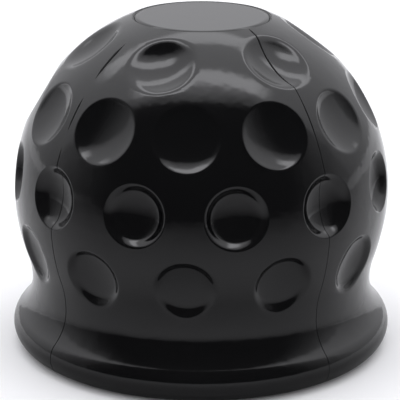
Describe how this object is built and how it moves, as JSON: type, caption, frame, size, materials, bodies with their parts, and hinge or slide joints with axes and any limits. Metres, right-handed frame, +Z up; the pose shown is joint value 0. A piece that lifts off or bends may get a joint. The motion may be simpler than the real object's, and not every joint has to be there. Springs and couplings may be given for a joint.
{
  "type": "tow ball cover",
  "caption": "Soft black one-piece cover for a tow ball: a dimpled ball with a flat round top, a waisted neck and a rounded skirt, open below into a push-on socket.",
  "frame": {"origin": "centre of the base ring, level with the surface that the cover stands on", "axes": "+Z up the axis of the ball towards the flat top; -Y is the side that the picture shows"},
  "size_m": [0.0694, 0.0694, 0.0604],
  "materials": {
    "gloss_vinyl": "glossy black soft vinyl, as moulded"
  },
  "bodies": {
    "root": {"cover": "gloss_vinyl"}
  },
  "joints": []
}
